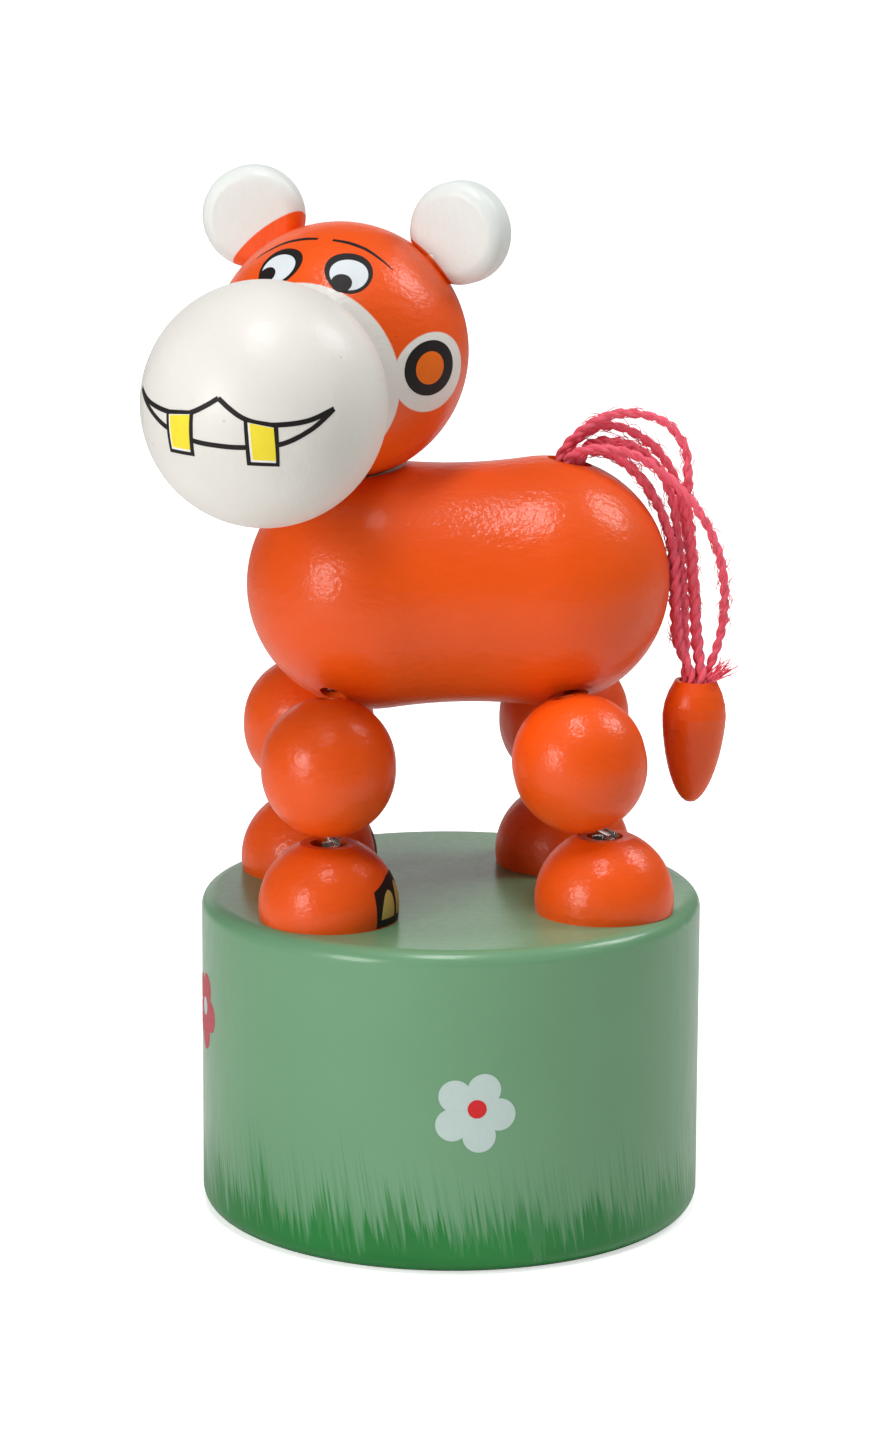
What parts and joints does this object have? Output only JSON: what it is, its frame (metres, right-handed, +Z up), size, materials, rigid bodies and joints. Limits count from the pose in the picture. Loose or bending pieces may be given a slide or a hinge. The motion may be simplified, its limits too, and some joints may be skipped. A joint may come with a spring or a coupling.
{
  "type": "push puppet",
  "caption": "Jointed wooden animal strung on tensioned cords over a drum base; pressing the button under the drum slackens the cords and the animal sways and nods.",
  "frame": {"origin": "centre of the drum's underside, on the table it stands on", "axes": "+Z up along the drum axis; -X the way the torso points, so the head is over -X and the tail hangs at +X; -Y the animal's left side"},
  "size_m": [0.0596, 0.0551, 0.1043],
  "materials": {
    "orange_paint": "satin lacquer",
    "white_paint": "satin lacquer",
    "green_paint": "satin lacquer with painted grass and flowers",
    "bare_wood": "sanded, unpainted",
    "spring_steel": "drawn wire",
    "clear_line": "clear nylon line",
    "pink_yarn": "soft twisted yarn"
  },
  "bodies": {
    "base": {"drum_base": "green_paint", "return_spring": "spring_steel", "base_cords": "clear_line"},
    "button": {"push_button": "bare_wood", "cord_knots": "clear_line"},
    "foot_front_left": {"foot_front_left": "orange_paint"},
    "foot_rear_left": {"foot_rear_left": "orange_paint"},
    "foot_front_right": {"foot_front_right": "orange_paint"},
    "foot_rear_right": {"foot_rear_right": "orange_paint"},
    "leg_front_left": {"thigh_front_left": "orange_paint", "thigh_cord_front_left": "clear_line"},
    "leg_rear_left": {"thigh_rear_left": "orange_paint", "thigh_cord_rear_left": "clear_line"},
    "leg_front_right": {"thigh_front_right": "orange_paint", "thigh_cord_front_right": "clear_line"},
    "leg_rear_right": {"thigh_rear_right": "orange_paint", "thigh_cord_rear_right": "clear_line"},
    "torso": {"torso": "orange_paint", "front_cords": "clear_line", "rear_cord": "clear_line"},
    "neck": {"neck_cords": "clear_line", "neck_peg": "bare_wood"},
    "head": {"head_ball": "orange_paint", "muzzle_ball": "white_paint", "muzzle_dowel": "bare_wood", "ear_left": "white_paint", "ear_right": "white_paint", "ear_dowel_left": "bare_wood", "ear_dowel_right": "bare_wood"},
    "tail": {"tail_strand_1": "pink_yarn", "tail_strand_2": "pink_yarn", "tail_strand_3": "pink_yarn", "tail_strand_4": "pink_yarn", "tail_strand_5": "pink_yarn", "tail_strand_6": "pink_yarn", "tail_bead": "orange_paint"}
  },
  "joints": [
    {"name": "button_push", "type": "slide", "parent": "base", "child": "button", "axis": [0, 0, 1], "range_m": [0, 0.009], "stiffness_N_per_m": 600, "springref_m": -0.005, "deforming": ["return_spring", "base_cords"]},
    {"name": "foot_turn_front_left", "type": "hinge", "parent": "base", "child": "foot_front_left", "pos_m": [-0.01335, -0.00995, 0.0324], "axis": [0, 0, 1], "continuous": true},
    {"name": "foot_turn_rear_left", "type": "hinge", "parent": "base", "child": "foot_rear_left", "pos_m": [0.014, -0.00995, 0.0324], "axis": [0, 0, 1], "continuous": true},
    {"name": "foot_turn_front_right", "type": "hinge", "parent": "base", "child": "foot_front_right", "pos_m": [-0.01335, 0.00995, 0.0324], "axis": [0, 0, 1], "continuous": true},
    {"name": "foot_turn_rear_right", "type": "hinge", "parent": "base", "child": "foot_rear_right", "pos_m": [0.01275, 0.00995, 0.0324], "axis": [0, 0, 1], "continuous": true},
    {"name": "leg_swing_front_left", "type": "hinge", "parent": "base", "child": "leg_front_left", "pos_m": [-0.01335, -0.00995, 0.0336], "axis": [1, 0, 0], "range_deg": [0, 36.2]},
    {"name": "leg_swing_rear_left", "type": "hinge", "parent": "base", "child": "leg_rear_left", "pos_m": [0.014, -0.00995, 0.0336], "axis": [1, 0, 0], "range_deg": [0, 36.2]},
    {"name": "leg_swing_front_right", "type": "hinge", "parent": "base", "child": "leg_front_right", "pos_m": [-0.01335, 0.00995, 0.0336], "axis": [1, 0, 0], "range_deg": [0, 36.2]},
    {"name": "leg_swing_rear_right", "type": "hinge", "parent": "base", "child": "leg_rear_right", "pos_m": [0.01275, 0.00995, 0.0336], "axis": [1, 0, 0], "range_deg": [0, 36.2]},
    {"name": "torso_sway", "type": "hinge", "parent": "leg_front_left", "child": "torso", "pos_m": [-0.01335, -0.00995, 0.0475], "axis": [1, 0, 0], "range_deg": [-36.2, 0]},
    {"name": "neck_nod", "type": "hinge", "parent": "torso", "child": "neck", "pos_m": [-0.0112, 0, 0.08695], "axis": [0.8988, -0.4384, 0], "range_deg": [0, 14.54]},
    {"name": "head_swivel", "type": "hinge", "parent": "neck", "child": "head", "pos_m": [-0.0112, 0, 0.08695], "axis": [0, 0, 1], "range_deg": [-160, 45]},
    {"name": "tail_swing", "type": "hinge", "parent": "torso", "child": "tail", "pos_m": [0.023, 0, 0.068], "axis": [1, 0, 0], "range_deg": [-25, 25], "deforming": ["tail_strand_1", "tail_strand_2", "tail_strand_3", "tail_strand_4", "tail_strand_5", "tail_strand_6"]}
  ],
  "couplings": [
    {"joint": "leg_swing_front_left", "follows": "button_push", "rad_per_m": 70},
    {"joint": "leg_swing_rear_left", "follows": "button_push", "rad_per_m": 70},
    {"joint": "leg_swing_front_right", "follows": "button_push", "rad_per_m": 70},
    {"joint": "leg_swing_rear_right", "follows": "button_push", "rad_per_m": 70},
    {"joint": "torso_sway", "follows": "button_push", "rad_per_m": -70},
    {"joint": "neck_nod", "follows": "button_push", "rad_per_m": 28}
  ]
}
